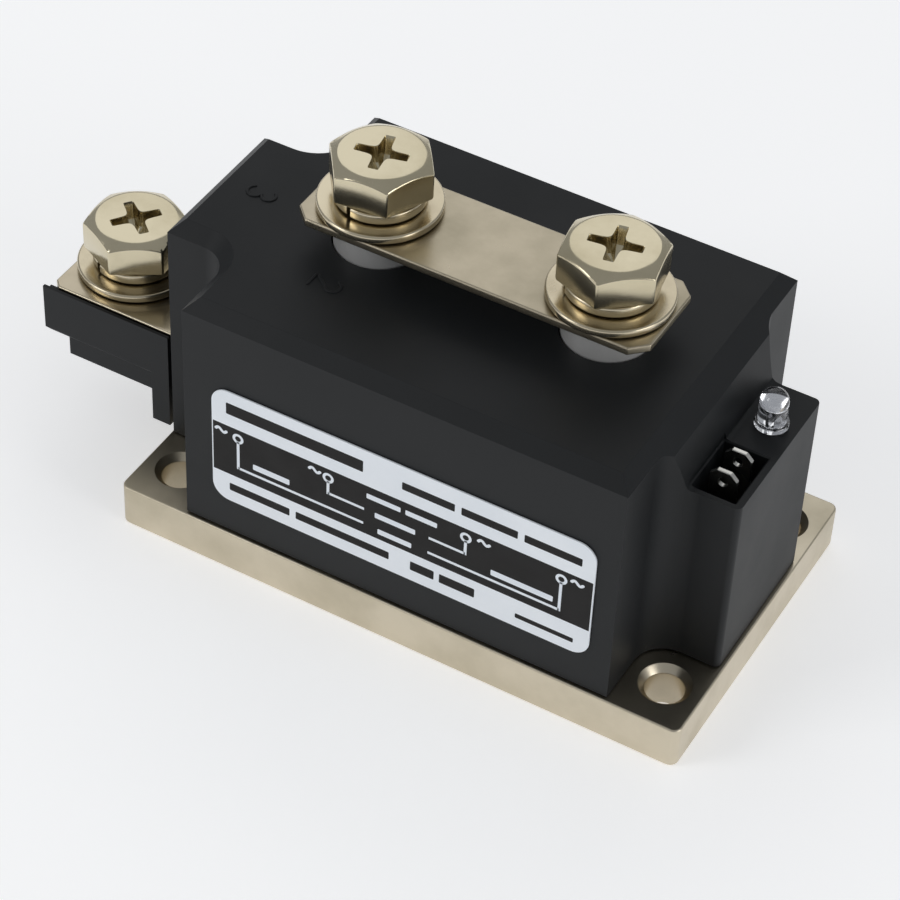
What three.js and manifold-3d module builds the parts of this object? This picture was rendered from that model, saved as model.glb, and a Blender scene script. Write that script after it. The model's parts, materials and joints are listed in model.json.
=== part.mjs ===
// Solid state relay in a block case on a plated base plate, with three screw terminals.
// Units are millimetres, +Z is up, +X runs along the base and the label faces -Y.
// The origin is the middle of the underside of the base plate.
import * as THREE from 'three';
import { mergeVertices } from 'three/addons/utils/BufferGeometryUtils.js';
import Module from 'manifold-3d';

const wasm = await Module();
wasm.setup();

// ---- driving dimensions ----
const GAP = 0.3;                 // clearance left between neighbouring pieces
const BASE_L = 106.4;            // base plate length
const BASE_W = 61.0;             // base plate width
const BASE_T = 8.3;              // base plate thickness
const HOLE_X = 46.5;             // mounting hole, half pitch along X
const HOLE_Y = 21.9;             // mounting hole, half pitch along Y
const HOLE_R = 3.3;              // mounting hole radius
const HOLE_RIM_R = 4.45;         // radius of the countersunk rim

const CASE_Z0 = BASE_T + GAP;    // underside of the case wall
const CASE_TOP = 55.4;           // top face of the case
const CASE_X = 40.0;             // half length of the full-width part
const CASE_Y = 29.8;             // half width of the full-width part
const CASE_CH = 2.3;             // chamfer round the top face
const WALL = 2.6;                // case wall thickness
const NECK_Y = 14.8;             // half width of the two end parts
const NECK_R = 5.6;              // radius of the screwdriver notch corner
const LEFT_X = -52.7;            // left end wall
const BLOCK_X = 52.4;            // right face of the control block
const BLOCK_TOP = 44.4;          // top face of the control block
const RAMP_TOP_X = 41.3;         // end wall above the block, upper end
const RAMP_LOW_X = 43.2;         // end wall above the block, lower end

const LEDGE_X = -80.4;           // outer end of the terminal ledge
const LEDGE_Y = 12.9;            // half width of the ledge
const LEDGE_TOP = 26.2;          // ledge face under the strap
const LEDGE_LOW = 18.4;          // underside of the upper part of the ledge
const LIP_T = 0.6;               // thickness of the two lips beside the strap
const LIP_TOP = 27.6;            // top of the lips
const SLAB_X = -75.9;            // outer end of the lower part of the ledge
const SLAB_LOW = 13.7;           // underside of the lower part
const RIB_X = [-58.3, -54.7];    // creepage rib, both faces
const RIB_LOW = 7.5;             // bottom of the creepage rib

const STRAP_Z = [26.5, 28.0];    // terminal strap, bottom and top
const STRAP_X = -79.1;           // outer end of the strap
const STRAP_Y = 12.0;            // half width of the strap
const STRAP_LEG_X = -31.6;       // inner face of the leg inside the case

const T1_X = -69.4;              // bolt axis, ledge terminal
const T2_X = -21.3;              // bolt axis, first post
const T3_X = 20.6;               // bolt axis, second post
const POST_R = 7.5;              // post radius
const POST_TOP = 60.65;          // post top face
const POST_LOW = 46.3;           // post bottom face
const BAR_Z = [60.9, 62.4];      // link bar, bottom and top
const BAR_X = [-32.3, 31.2];     // link bar ends
const BAR_Y = 9.55;              // half width of the link bar
const BAR_CH = 2.7;              // link bar corner chamfer

const THREAD_R = 4.9;            // bolt shank radius
const BORE_R = 5.25;             // clearance bore and tapped bore radius
const BOLT_LEN = 16.0;           // bolt length under the head
const HEAD_AF = 16.0;            // hexagon across flats
const HEAD_K = 6.3;              // head height
const HEAD_CH_R = 7.05;          // radius of the flat circle on the head
const WASHER_R = 10.45;          // flat washer outer radius
const WASHER_T = 1.5;            // flat washer thickness
const SPRING_R = 7.7;            // spring washer outer radius
const SPRING_T = 1.95;           // spring washer section height
const SPRING_RISE = 0.2;         // axial step at the split
const STACK_GAP = 0.25;          // gap between the pieces of one bolt stack

const LABEL_X = [-34.4, 36.1];   // printed label, both ends
const LABEL_Z = [15.9, 40.2];    // printed label, lower and upper edge
const LABEL_R = 3.2;             // label corner radius

const LED_X = 48.0;              // LED axis
const LED_Y = 5.3;
const POCKET = { x0: 43.3, x1: 51.0, y0: -13.7, y1: -1.8, z0: 33.4 };
const TAB_X = 47.05;             // middle of both control tabs
const TAB_Y = [-9.6, -4.3];      // control tab planes
const TAB_TOP = 46.0;            // control tab tip height
const TAB_BLADE_Z = 34.0;        // lower end of the blade, just above the pocket floor
const BOARD_Z = [24.0, 25.6];    // control board, bottom and top

const DIE_X = 18.0;              // thyristor stack, distance from the middle
const STACK_Z = {                // layers between base plate and bus bars
  ceramic: [8.6, 9.3], pad: [9.6, 10.8], moly: [11.1, 12.6],
  die: [12.9, 14.1], plate: [14.4, 19.7], link: [20.0, 22.0],
};
const BUS_TOP = [44.0, 46.0];    // horizontal tops of the two risers

const COLOUR = {
  base: [0xb9ae97, 0.32, 1.0], plated: [0xc9bea4, 0.25, 1.0], post: [0xb4b2ae, 0.35, 1.0],
  case: [0x2c2f31, 0.55, 0.0], label: [0xdbe2ea, 0.4, 0.0], clear: [0xe8edf0, 0.05, 0.0],
  tin: [0xb9b6ac, 0.3, 1.0], copper: [0xb8704a, 0.35, 1.0], ceramic: [0xe9e6dd, 0.6, 0.0],
  moly: [0x8d8f93, 0.4, 1.0], silicon: [0x4b5058, 0.2, 0.3], board: [0x2f6b45, 0.5, 0.0],
  seal: [0xd8d8d2, 0.6, 0.0], black: [0x1b1b1c, 0.5, 0.0], yellow: [0xd8b13a, 0.5, 0.0],
  blue: [0x2d5f9e, 0.5, 0.0], cream: [0xd9cdb2, 0.6, 0.0], cement: [0xe3e1dc, 0.8, 0.0],
};

// ---- small tools ----
function solid(geometry) {
  const g = geometry.index ? geometry.toNonIndexed() : geometry.clone();
  g.deleteAttribute('normal');
  g.deleteAttribute('uv');
  const m = mergeVertices(g, 1e-4);
  return new wasm.Manifold(new wasm.Mesh({
    numProp: 3,
    vertProperties: new Float32Array(m.attributes.position.array),
    triVerts: new Uint32Array(m.index.array),
  }));
}

function surface(body) {
  const m = body.getMesh();
  const g = new THREE.BufferGeometry();
  g.setAttribute('position', new THREE.BufferAttribute(new Float32Array(m.vertProperties), 3));
  g.setIndex(new THREE.BufferAttribute(new Uint32Array(m.triVerts), 1));
  return g;
}

function piece(name, body, look) {
  const [color, roughness, metalness] = COLOUR[look];
  const g = (body.isBufferGeometry ? body : surface(body)).toNonIndexed();
  g.computeVertexNormals();
  const mesh = new THREE.Mesh(g, new THREE.MeshStandardMaterial({ color, roughness, metalness }));
  mesh.name = name;
  return mesh;
}

function box(x0, x1, y0, y1, z0, z1) {
  const g = new THREE.BoxGeometry(x1 - x0, y1 - y0, z1 - z0);
  return solid(g.translate((x0 + x1) / 2, (y0 + y1) / 2, (z0 + z1) / 2));
}

function cylinder(x, y, r, z0, z1, sides = 32) {
  const g = new THREE.CylinderGeometry(r, r, z1 - z0, sides).rotateX(Math.PI / 2);
  return solid(g.translate(x, y, (z0 + z1) / 2));
}

function lathe(x, y, profile, sides = 32) {
  const g = new THREE.LatheGeometry(profile.map(([r, z]) => new THREE.Vector2(r, z)), sides);
  return solid(g.rotateX(Math.PI / 2).translate(x, y, 0));
}

function prism(points, z0, z1, bevel = 0) {
  const shape = new THREE.Shape(points.map(([x, y]) => new THREE.Vector2(x, y)));
  const g = new THREE.ExtrudeGeometry(shape, {
    depth: z1 - z0 - 2 * bevel, bevelEnabled: bevel > 0, bevelThickness: bevel,
    bevelSize: bevel, bevelOffset: -bevel, bevelSegments: 1, curveSegments: 1, steps: 1,
  });
  return solid(g.translate(0, 0, z0 + bevel));
}

function arc(cx, cy, r, from, to, steps) {
  return Array.from({ length: steps + 1 }, (_, i) => {
    const a = ((from + ((to - from) * i) / steps) * Math.PI) / 180;
    return [cx + r * Math.cos(a), cy + r * Math.sin(a)];
  });
}

function roundedBox(x0, x1, y0, y1, r, z0, z1, bevel = 0, steps = 4) {
  return prism([
    ...arc(x1 - r, y1 - r, r, 0, 90, steps), ...arc(x0 + r, y1 - r, r, 90, 180, steps),
    ...arc(x0 + r, y0 + r, r, 180, 270, steps), ...arc(x1 - r, y0 + r, r, 270, 360, steps),
  ], z0, z1, bevel);
}

function hexagon(x, y, acrossFlats, turn) {
  return Array.from({ length: 6 }, (_, i) => {
    const a = ((turn + 60 * i) * Math.PI) / 180;
    const r = acrossFlats / Math.sqrt(3);
    return [x + r * Math.cos(a), y + r * Math.sin(a)];
  });
}

function sideProfile(points, y0, y1) {
  // a closed outline in X and Z, pushed from y0 to y1
  const shape = new THREE.Shape(points.map(([x, z]) => new THREE.Vector2(x, z)));
  const g = new THREE.ExtrudeGeometry(shape, { depth: y1 - y0, bevelEnabled: false, steps: 1 });
  return solid(g.rotateX(Math.PI / 2).translate(0, y1, 0));
}

function cut(body, ...tools) {
  return tools.reduce((b, t) => b.subtract(t), body);
}

function join(...bodies) {
  return bodies.reduce((a, b) => a.add(b));
}

// ---- base plate ----
function basePlate() {
  const h = BASE_L / 2;
  const w = BASE_W / 2;
  let plate = roundedBox(-h, h, -w, w, 1.6, 0, BASE_T, 0.35);
  for (const x of [-HOLE_X, HOLE_X]) {
    for (const y of [-HOLE_Y, HOLE_Y]) {
      plate = cut(plate, cylinder(x, y, HOLE_R, -1, BASE_T + 1, 24), lathe(x, y, [
        [0, BASE_T - 1.15], [HOLE_R, BASE_T - 1.15], [HOLE_RIM_R, BASE_T],
        [HOLE_RIM_R, BASE_T + 1], [0, BASE_T + 1]], 24));
    }
  }
  return piece('base_plate', plate, 'base');
}

// ---- case ----
function notchedOutline(x, inner, sign) {
  // outline of an end part: narrow end joined to the full width by rounded notches
  const cx = sign * (inner + NECK_R);
  const cy = NECK_Y + NECK_R;
  const low = arc(cx, -cy, NECK_R, sign > 0 ? 180 : 0, 90, 8);
  const high = arc(cx, cy, NECK_R, 270, sign > 0 ? 180 : 360, 8);
  const pts = [...low, [x, -NECK_Y], [x, NECK_Y], ...high];
  return sign > 0 ? pts : pts.reverse();
}

function caseBlank() {
  const left = notchedOutline(LEFT_X, CASE_X, -1);
  const outline = [[-CASE_X, -CASE_Y], [CASE_X, -CASE_Y], [CASE_X, CASE_Y], [-CASE_X, CASE_Y], ...left];
  const tall = prism(outline, CASE_Z0 - 6, CASE_TOP, CASE_CH)
    .subtract(box(-70, 70, -40, 40, CASE_Z0 - 10, CASE_Z0));
  const right = [[CASE_X - 6, -20.4], ...notchedOutline(BLOCK_X, CASE_X, 1), [CASE_X - 6, 20.4]];
  const block = prism(right, CASE_Z0 - 4, BLOCK_TOP, 0.5)
    .subtract(box(30, 70, -40, 40, CASE_Z0 - 10, CASE_Z0));
  const above = prism(right, BLOCK_TOP - 2, CASE_TOP).intersect(sideProfile([
    [CASE_X - 5, BLOCK_TOP - 3], [RAMP_LOW_X + 0.9, BLOCK_TOP - 3], [RAMP_LOW_X + 0.9, BLOCK_TOP],
    [RAMP_LOW_X + 0.3, BLOCK_TOP + 0.3], [RAMP_LOW_X, BLOCK_TOP + 0.9],
    [RAMP_TOP_X, CASE_TOP - CASE_CH - (RAMP_TOP_X - CASE_X)],
    [CASE_X - CASE_CH - 0.02, CASE_TOP - 0.02], [CASE_X - 5, CASE_TOP - 0.02]], -25, 25));
  return join(tall, block, above);
}

function ledgeBlank() {
  const inner = LEFT_X + 1.2;
  const edge = (side, y, x1, top) => box(LEDGE_X, x1, Math.min(side * y, side * LEDGE_Y),
    Math.max(side * y, side * LEDGE_Y), LEDGE_LOW, top);
  const edges = [-1, 1].flatMap((side) => [
    edge(side, LEDGE_Y - LIP_T, RIB_X[1], LIP_TOP),
    edge(side, LEDGE_Y - 2.4, STRAP_X + 1, LEDGE_TOP)]);
  const upper = join(
    box(STRAP_X + 0.2, RIB_X[1], -LEDGE_Y, LEDGE_Y, LEDGE_LOW, LEDGE_TOP), ...edges);
  const lower = box(SLAB_X, RIB_X[1], -LEDGE_Y + 0.7, LEDGE_Y - 0.7, SLAB_LOW, LEDGE_LOW + 0.5);
  const rib = box(RIB_X[0], RIB_X[1], -LEDGE_Y, LEDGE_Y, RIB_LOW, LEDGE_LOW + 2);
  const neck = box(RIB_X[1] - 1, inner, -LEDGE_Y + 2.6, LEDGE_Y - 2.6, SLAB_LOW, LEDGE_TOP);
  return join(upper, lower, rib, neck);
}

function caseShell() {
  const roof = CASE_TOP - WALL;
  const room = join(
    box(-CASE_X + WALL, CASE_X - WALL, -CASE_Y + WALL, CASE_Y - WALL, 0, roof),
    box(LEFT_X + WALL, 0, -NECK_Y + WALL, NECK_Y - WALL, 0, roof),
    box(0, BLOCK_X - 1.6, -NECK_Y + WALL, NECK_Y - WALL, 0, POCKET.z0 - 2),
    box(0, BLOCK_X - 1.6, POCKET.y1 + 1.5, NECK_Y - WALL, 0, BLOCK_TOP - 2.2));
  const pocket = box(POCKET.x0, POCKET.x1, POCKET.y0, POCKET.y1, POCKET.z0, BLOCK_TOP + 1);
  const tabSlots = TAB_Y.map((y) => box(TAB_X - 2.7, TAB_X + 2.7, y - 0.7, y + 0.7, 30, 34));
  const ledHoles = [-1.27, 1.27].map((d) => cylinder(LED_X, LED_Y + d, 0.65, 40, BLOCK_TOP + 1, 16));
  const postHoles = [T2_X, T3_X].map((x) => cylinder(x, 0, POST_R + GAP, 50, 60));
  const strapSlot = box(LEFT_X - 1, -48, -STRAP_Y - GAP, STRAP_Y + GAP, STRAP_Z[0] - GAP, STRAP_Z[1] + GAP);
  const nutPocket = prism(hexagon(T1_X, 0, HEAD_AF + 2 * GAP, 30), LEDGE_TOP - 8.6, LEDGE_TOP + 1);
  const boltBore = cylinder(T1_X, 0, BORE_R, SLAB_LOW + 1.2, LEDGE_TOP);
  const body = cut(join(caseBlank(), ledgeBlank()), room, pocket, ...tabSlots,
    ...ledHoles, ...postHoles, strapSlot, nutPocket, boltBore);
  return piece('case_shell', body, 'case');
}

function caseSeal() {
  const x = CASE_X - WALL - GAP;
  const y = CASE_Y - WALL - GAP;
  const ring = cut(box(-x, x, -y, y, CASE_Z0, CASE_Z0 + 1.8),
    box(-x + 1.4, x - 1.4, -y + 1.4, y - 1.4, 0, 20));
  return piece('case_seal', ring, 'seal');
}

function labelPlate() {
  const [x0, x1] = LABEL_X.map((x) => x - Math.sign(x) * LABEL_R);
  const z0 = LABEL_Z[0] + LABEL_R;
  const z1 = LABEL_Z[1] - LABEL_R;
  const g = new THREE.Shape([
    ...arc(x1, z1, LABEL_R, 0, 90, 6), ...arc(x0, z1, LABEL_R, 90, 180, 6),
    ...arc(x0, z0, LABEL_R, 180, 270, 6), ...arc(x1, z0, LABEL_R, 270, 360, 6),
  ].map(([x, z]) => new THREE.Vector2(x, z)));
  const plate = new THREE.ExtrudeGeometry(g, { depth: 0.25, bevelEnabled: false, steps: 1 });
  return piece('label_plate', solid(plate.rotateX(Math.PI / 2).translate(0, -CASE_Y - 0.1, 0)), 'label');
}

// ---- ledge terminal ----
function terminalStrap() {
  const x = STRAP_X;
  const y = STRAP_Y;
  const flat = prism([[x + 1.4, -y], [-53, -y], [-53, y], [x + 1.4, y], [x, y - 1.4], [x, -y + 1.4]],
    STRAP_Z[0], STRAP_Z[1], 0.15);
  const inside = box(-53.5, STRAP_LEG_X, -y + 0.4, y - 0.4, STRAP_Z[0], STRAP_Z[1]);
  const leg = box(STRAP_LEG_X - 2, STRAP_LEG_X, -8, 8, STACK_Z.pad[1] + GAP, STRAP_Z[1]);
  const body = cut(join(flat, inside, leg), cylinder(T1_X, 0, BORE_R, 20, 30));
  return piece('terminal_1_strap', body, 'plated');
}

function captiveNut() {
  const top = LEDGE_TOP - GAP;
  const cone = lathe(T1_X, 0, [[0, top - 8], [7.6, top - 8], [9.4, top - 7],
    [9.4, top - 1], [7.6, top], [0, top]], 24);
  const body = prism(hexagon(T1_X, 0, HEAD_AF, 30), top - 8, top).intersect(cone)
    .subtract(cylinder(T1_X, 0, BORE_R, 0, 40));
  return piece('terminal_1_nut', body, 'tin');
}

// ---- posts and link bar ----
function terminalPost(name, x) {
  const flange = CASE_TOP - WALL - GAP;
  return piece(name, lathe(x, 0, [
    [0, POST_LOW], [POST_R, POST_LOW], [POST_R, flange - 3.2], [POST_R + 2, flange - 3.2],
    [POST_R + 2, flange], [POST_R, flange], [POST_R, POST_TOP - 0.4], [POST_R - 0.4, POST_TOP],
    [BORE_R + 0.5, POST_TOP], [BORE_R, POST_TOP - 0.5], [BORE_R, POST_LOW + 2.2], [0, POST_LOW + 1.2],
  ]), 'post');
}

function linkBar() {
  const [x0, x1] = BAR_X;
  const y = BAR_Y;
  const c = BAR_CH;
  const outline = [[x0 + c, -y], [x1 - c, -y], [x1, -y + c], [x1, y - c],
    [x1 - c, y], [x0 + c, y], [x0, y - c], [x0, -y + c]];
  const body = cut(prism(outline, BAR_Z[0], BAR_Z[1], 0.2),
    cylinder(T2_X, 0, BORE_R, 50, 70), cylinder(T3_X, 0, BORE_R, 50, 70));
  return piece('link_bar', body, 'plated');
}

// ---- screws: one bolt, one spring washer and one flat washer per terminal ----
function crossRecess(x, y, turn, top) {
  // four tapering arms that meet in a pointed middle
  const arm = (a) => {
    const g = new THREE.CylinderGeometry(1, 0.42, 3.1, 4, 1).rotateY(Math.PI / 4);
    g.scale(4.35 * Math.SQRT2, 1, 0.95 * Math.SQRT2).rotateX(Math.PI / 2);
    return solid(g.rotateZ((a * Math.PI) / 180).translate(x, y, top - 1.5));
  };
  const middle = lathe(x, y, [[0, top - 3.6], [1.0, top - 2.6], [2.5, top + 0.1], [0, top + 0.1]], 16);
  return join(arm(turn), arm(turn + 90), middle);
}

function hexBolt(name, x, under, hexTurn, crossTurn) {
  const top = under + HEAD_K;
  const rim = HEAD_AF / Math.sqrt(3) + 0.2;
  const drop = (rim - HEAD_CH_R) * 0.58;
  const head = prism(hexagon(x, 0, HEAD_AF, hexTurn), under, top).intersect(lathe(x, 0, [
    [0, under], [rim - 0.9, under], [rim, under + 0.5], [rim, top - drop], [HEAD_CH_R, top], [0, top]], 48));
  const shank = lathe(x, 0, [[0, under - BOLT_LEN], [THREAD_R - 0.9, under - BOLT_LEN],
    [THREAD_R, under - BOLT_LEN + 0.9], [THREAD_R, under + 0.5], [0, under + 0.5]], 24);
  return piece(name, cut(join(head, shank), crossRecess(x, 0, crossTurn, top)), 'plated');
}

function flatWasher(name, x, z) {
  return piece(name, lathe(x, 0, [[BORE_R + 0.1, z], [WASHER_R - 0.2, z], [WASHER_R, z + 0.2],
    [WASHER_R, z + WASHER_T - 0.25], [WASHER_R - 0.25, z + WASHER_T], [BORE_R + 0.1, z + WASHER_T],
    [BORE_R + 0.1, z]], 40), 'plated');
}

function springWasher(name, x, z, splitTurn) {
  // a square section carried once round with a small rise, open at the split
  const n = 40;
  const span = 354;
  const ring = [[BORE_R + 0.1, 0], [SPRING_R, 0], [SPRING_R, SPRING_T], [BORE_R + 0.1, SPRING_T]];
  const pos = [];
  for (let i = 0; i <= n; i += 1) {
    const a = ((splitTurn + (span * i) / n) * Math.PI) / 180;
    for (const [r, h] of ring) {
      pos.push(x + r * Math.cos(a), r * Math.sin(a), z + h + (SPRING_RISE * i) / n);
    }
  }
  const idx = [0, 1, 2, 0, 2, 3];
  for (let i = 0; i < n; i += 1) {
    for (let j = 0; j < 4; j += 1) {
      const a = 4 * i + j;
      const b = 4 * i + ((j + 1) % 4);
      idx.push(a, a + 4, b, b, a + 4, b + 4);
    }
  }
  const e = 4 * n;
  idx.push(e, e + 2, e + 1, e, e + 3, e + 2);
  const g = new THREE.BufferGeometry();
  g.setAttribute('position', new THREE.Float32BufferAttribute(pos, 3));
  g.setIndex(idx);
  return piece(name, g, 'plated');
}

function boltStack(number, x, seat, hexTurn, crossTurn, splitTurn) {
  const flat = seat + STACK_GAP;
  const spring = flat + WASHER_T + STACK_GAP;
  const head = spring + SPRING_T + SPRING_RISE + STACK_GAP;
  return [
    hexBolt(`bolt_${number}`, x, head, hexTurn, crossTurn),
    springWasher(`spring_washer_${number}`, x, spring, splitTurn),
    flatWasher(`flat_washer_${number}`, x, flat),
  ];
}

// ---- control terminals and lamp ----
function controlTab(name, y) {
  // a flat blade with cut corners and a hole, on a narrower and thinner leg that stands on the board
  const c = 1.2;
  const w = 2.4;
  const outline = [[TAB_X - w, TAB_BLADE_Z], [TAB_X + w, TAB_BLADE_Z],
    [TAB_X + w, TAB_TOP - c], [TAB_X + w - c, TAB_TOP], [TAB_X - w + c, TAB_TOP], [TAB_X - w, TAB_TOP - c]];
  const hole = new THREE.CylinderGeometry(0.8, 0.8, 4, 20).translate(TAB_X, y, TAB_TOP - 2.2);
  const leg = box(TAB_X - w + 0.6, TAB_X + w - 0.6, y - 0.3, y + 0.3, BOARD_Z[1] + GAP, TAB_BLADE_Z + 1);
  return piece(name, cut(join(sideProfile(outline, y - 0.4, y + 0.4), leg), solid(hole)), 'tin');
}

function ledLens() {
  const z = BLOCK_TOP + GAP;
  const r = 2.4;
  const dome = Array.from({ length: 7 }, (_, i) => {
    const a = (i * Math.PI) / 12;
    return [r * Math.cos(a), z + 4.7 + r * Math.sin(a)];
  });
  dome[6][0] = 0;
  const body = lathe(LED_X, LED_Y, [[0, z], [2.8, z], [2.85, z + 0.9], [r, z + 1.0], ...dome], 24);
  const slots = [-1.27, 1.27].map((d) => box(LED_X - 0.55, LED_X + 0.55,
    LED_Y + d - 0.55, LED_Y + d + 0.55, z - 1, z + 3.6));
  return piece('led_lens', cut(body, ...slots), 'clear');
}

function ledLead(name, d, top) {
  return piece(name, box(LED_X - 0.25, LED_X + 0.25, LED_Y + d - 0.25, LED_Y + d + 0.25,
    BOARD_Z[1] + GAP, BLOCK_TOP + top), 'tin');
}

// ---- control board and its components ----
function controlBoard() {
  return piece('control_board', prism([[-30, -26.2], [36.6, -26.2], [36.6, -11.6], [50.2, -11.6],
    [50.2, 11.6], [37.2, 11.6], [37.2, -9.6], [-30, -9.6]], BOARD_Z[0], BOARD_Z[1]), 'board');
}

function boardPart(name, look, x, y, sx, sy, sz) {
  const z = BOARD_Z[1] + GAP;
  const solid = roundedBox(x - sx / 2, x + sx / 2, y - sy / 2, y + sy / 2, 0.6, z, z + sz, 0.3, 2);
  return piece(name, solid, look);
}

function axialResistor(name, x, y) {
  // round body lying along X with a swollen cap at each end and two bent legs
  const z = BOARD_Z[1] + GAP + 2.2;
  const g = new THREE.LatheGeometry([[0, -3.4], [1.2, -3.3], [1.35, -2.2], [1.1, -1.6], [1.1, 1.6],
    [1.35, 2.2], [1.2, 3.3], [0, 3.4]].map(([r, h]) => new THREE.Vector2(r, h)), 12);
  const body = solid(g.rotateZ(Math.PI / 2).translate(x, y, z));
  const legs = [-1, 1].flatMap((s) => [
    box(x + Math.min(3.2 * s, 5 * s), x + Math.max(3.2 * s, 5 * s), y - 0.3, y + 0.3, z - 0.3, z + 0.3),
    box(x + 5 * s - 0.3, x + 5 * s + 0.3, y - 0.3, y + 0.3, BOARD_Z[1] + GAP, z + 0.3)]);
  return piece(name, join(body, ...legs), 'cream');
}

function varistor() {
  const g = new THREE.CylinderGeometry(5, 5, 3.4, 32).translate(-24.5, -18, BOARD_Z[1] + GAP + 6.4);
  const legs = [-2.6, 2.6].map((d) => box(-24.5 + d - 0.35, -24.5 + d + 0.35, -18.35, -17.65,
    BOARD_Z[1] + GAP, BOARD_Z[1] + 4));
  return piece('varistor', join(solid(g), ...legs), 'blue');
}

// ---- power stack on the base plate ----
function layer(name, look, x, halfX, halfY, [z0, z1]) {
  return piece(name, box(x - halfX, x + halfX, -halfY, halfY, z0, z1), look);
}

function powerStack(letter, side) {
  const x = side * DIE_X;
  const disc = (r, [z0, z1]) => cylinder(x, 0, r, z0, z1, 32);
  return [
    layer(`ceramic_${letter}`, 'ceramic', side * 18.1, 17.0, 24, STACK_Z.ceramic),
    layer(`copper_pad_${letter}`, 'copper', side * 18.1, 15.9, 18, STACK_Z.pad),
    piece(`moly_disc_${letter}`, disc(13, STACK_Z.moly), 'moly'),
    piece(`thyristor_${letter}`, disc(12.4, STACK_Z.die), 'silicon'),
    piece(`cathode_plate_${letter}`, disc(9.4, STACK_Z.plate), 'copper'),
    piece(`gate_pin_${letter}`,
      box(x - 0.4, x + 0.4, -11.3, -10.5, STACK_Z.plate[0], BOARD_Z[0] - GAP), 'tin'),
  ];
}

function crossLink() {
  const [z0, z1] = STACK_Z.link;
  const body = join(box(-4.4, 27, -8, 8, z0, z1), box(-4.4, -2.4, -8, 8, STACK_Z.pad[1] + GAP, z1));
  return piece('cross_link', body, 'copper');
}

function riserA() {
  const body = join(box(-28, -9, -8, 8, ...STACK_Z.link), box(-28, -26, -8, 8, STACK_Z.link[0], BUS_TOP[1]),
    box(-28, T2_X + 7.5, -8, 8, ...BUS_TOP));
  return piece('riser_a', body, 'copper');
}

function riserB() {
  const body = join(box(31.6, 33.6, -8, 8, STACK_Z.pad[1] + GAP, BUS_TOP[1]),
    box(T3_X - 7.5, 33.6, -8, 8, ...BUS_TOP));
  return piece('riser_b', body, 'copper');
}

// ---- assembly ----
const relay = new THREE.Group();
relay.name = 'solid_state_relay';
relay.add(
  basePlate(), caseShell(), caseSeal(), labelPlate(),
  terminalStrap(), captiveNut(),
  terminalPost('post_2', T2_X), terminalPost('post_3', T3_X), linkBar(),
  ...boltStack(1, T1_X, STRAP_Z[1], 33, 52, 248),
  ...boltStack(2, T2_X, BAR_Z[1], 6, 12, 262),
  ...boltStack(3, T3_X, BAR_Z[1], 40, 12, 225),
  controlTab('control_tab_a', TAB_Y[0]), controlTab('control_tab_b', TAB_Y[1]),
  ledLens(), ledLead('led_lead_a', -1.27, 3.2), ledLead('led_lead_b', 1.27, 2.6),
  controlBoard(),
  boardPart('bridge_rectifier', 'black', 41.2, -7.2, 6.0, 5.0, 3.4),
  boardPart('input_capacitor', 'yellow', 41.6, 6.2, 5.6, 9.5, 11),
  boardPart('optocoupler_a', 'black', 12, -20.5, 8.9, 6.4, 3.6),
  boardPart('optocoupler_b', 'black', -1, -20.5, 8.9, 6.4, 3.6),
  boardPart('snubber_capacitor', 'yellow', 27.5, -18, 13, 8.5, 14),
  boardPart('snubber_resistor', 'cement', -12.5, -21, 11, 5.5, 6),
  axialResistor('gate_resistor_a', -8, -13), axialResistor('gate_resistor_b', 8, -13),
  axialResistor('input_resistor', 42.6, -1.2), varistor(),
  ...powerStack('a', -1), ...powerStack('b', 1),
  crossLink(), riserA(), riserB(),
);

export default relay;
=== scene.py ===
import json
import math
import bmesh
import bpy
import numpy as np
from mathutils import Matrix, Vector
from mathutils.geometry import tessellate_polygon


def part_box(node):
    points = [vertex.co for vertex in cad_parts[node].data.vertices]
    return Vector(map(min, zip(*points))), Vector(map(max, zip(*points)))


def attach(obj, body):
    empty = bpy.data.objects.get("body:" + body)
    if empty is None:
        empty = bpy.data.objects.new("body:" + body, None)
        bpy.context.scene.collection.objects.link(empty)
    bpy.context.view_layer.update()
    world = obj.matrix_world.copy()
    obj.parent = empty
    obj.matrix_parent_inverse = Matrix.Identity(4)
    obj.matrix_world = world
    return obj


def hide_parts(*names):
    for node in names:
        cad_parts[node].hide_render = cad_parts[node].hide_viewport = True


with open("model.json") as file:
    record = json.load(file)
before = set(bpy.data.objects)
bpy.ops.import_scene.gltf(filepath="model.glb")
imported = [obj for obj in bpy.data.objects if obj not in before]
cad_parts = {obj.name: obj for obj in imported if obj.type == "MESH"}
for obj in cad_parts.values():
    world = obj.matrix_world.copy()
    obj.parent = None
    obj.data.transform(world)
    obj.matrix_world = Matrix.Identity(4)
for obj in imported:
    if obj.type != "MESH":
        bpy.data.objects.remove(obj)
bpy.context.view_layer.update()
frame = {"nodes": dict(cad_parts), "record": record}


# ---- camera and studio ----
# The relay stands on a pale floor under soft boxes. The camera looks down on the label side and the
# control end with a long lens.
CAMERA_PLACE = (0.17149, -0.33625, 0.37567)
CAMERA_AZIMUTH = math.radians(27.873)
CAMERA_ELEVATION = math.radians(43.421)
CAMERA_ROLL = math.radians(2.973)
CAMERA_LENS = 123.693
FLOOR_HALF = 3.0
FLOOR_Z = -0.0003
LAMP_AIM = (0.0, 0.0, 0.03)

camera_data = bpy.data.cameras.new("camera")
camera_data.lens = CAMERA_LENS
camera_data.sensor_width = 36.0
camera_data.clip_end = 20.0
camera = bpy.data.objects.new("camera", camera_data)
camera.matrix_world = (Matrix.Translation(CAMERA_PLACE)
                       @ Matrix.Rotation(CAMERA_AZIMUTH, 4, "Z")
                       @ Matrix.Rotation(math.pi / 2 - CAMERA_ELEVATION, 4, "X")
                       @ Matrix.Rotation(CAMERA_ROLL, 4, "Z"))
bpy.context.collection.objects.link(camera)
bpy.context.scene.camera = camera
bpy.context.scene.view_settings.view_transform = "Standard"


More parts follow.
